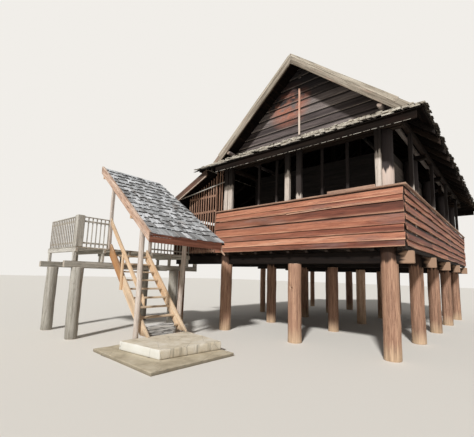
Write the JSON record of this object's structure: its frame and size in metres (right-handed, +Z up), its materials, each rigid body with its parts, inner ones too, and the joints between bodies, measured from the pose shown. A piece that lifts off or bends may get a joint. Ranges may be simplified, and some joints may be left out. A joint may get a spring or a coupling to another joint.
{
  "type": "stilt house",
  "caption": "Timber stilt house with a gablet roof, lapped board parapets round an open gallery, a lean-to passage and a shingled stair roof over an open stair.",
  "frame": {"origin": "centre of the foot of the corner post nearest the viewer, on the ground", "axes": "+X to the right along the front, +Y to the back along the ridge, +Z up"},
  "size_m": [8.1798, 13.4, 7.0639],
  "materials": {
    "post_wood": "weathered brown round timber",
    "beam_wood": "dark sawn timber under the eaves and floor",
    "parapet_wood": "oiled red brown boards",
    "grey_wood": "grey brown weathered boards",
    "pale_wood": "bleached timber",
    "tan_wood": "tan sawn battens and stair timber",
    "roof_shingle": "dark mossy wood shingles",
    "stair_shingle": "silver grey wood shingles",
    "deck_wood": "grey landing timber",
    "concrete": "pale worn concrete"
  },
  "bodies": {
    "root": {"front_posts": "post_wood", "side_posts": "post_wood", "middle_posts": "post_wood", "passage_posts": "post_wood", "cross_beams": "beam_wood", "floor_joists": "beam_wood", "floor_boards": "beam_wood", "front_parapet": "parapet_wood", "right_parapet": "parapet_wood", "back_parapet": "parapet_wood", "passage_parapet": "parapet_wood", "parapet_rails": "parapet_wood", "gallery_posts": "pale_wood", "end_beams": "beam_wood", "side_plates": "beam_wood", "tie_beams": "beam_wood", "king_posts": "beam_wood", "purlins": "beam_wood", "rafters": "beam_wood", "right_roof": "roof_shingle", "left_roof": "roof_shingle", "end_skirts": "roof_shingle", "ridge_cap": "roof_shingle", "bargeboards": "pale_wood", "gable_walls": "grey_wood", "gable_strips": "pale_wood", "room_walls": "grey_wood", "front_screen": "tan_wood", "lean_roof": "roof_shingle", "lean_frame": "beam_wood", "lean_bargeboards": "grey_wood", "landing_floor": "deck_wood", "landing_beams": "deck_wood", "landing_posts": "deck_wood", "landing_balustrade": "deck_wood", "stair_stringers": "tan_wood", "stair_treads": "tan_wood", "stair_handrail": "tan_wood", "stair_roof": "stair_shingle", "stair_roof_frame": "tan_wood", "stair_fascia": "tan_wood", "stair_poles": "deck_wood", "foot_block": "deck_wood", "upper_slab": "concrete", "lower_slab": "concrete"}
  },
  "joints": []
}
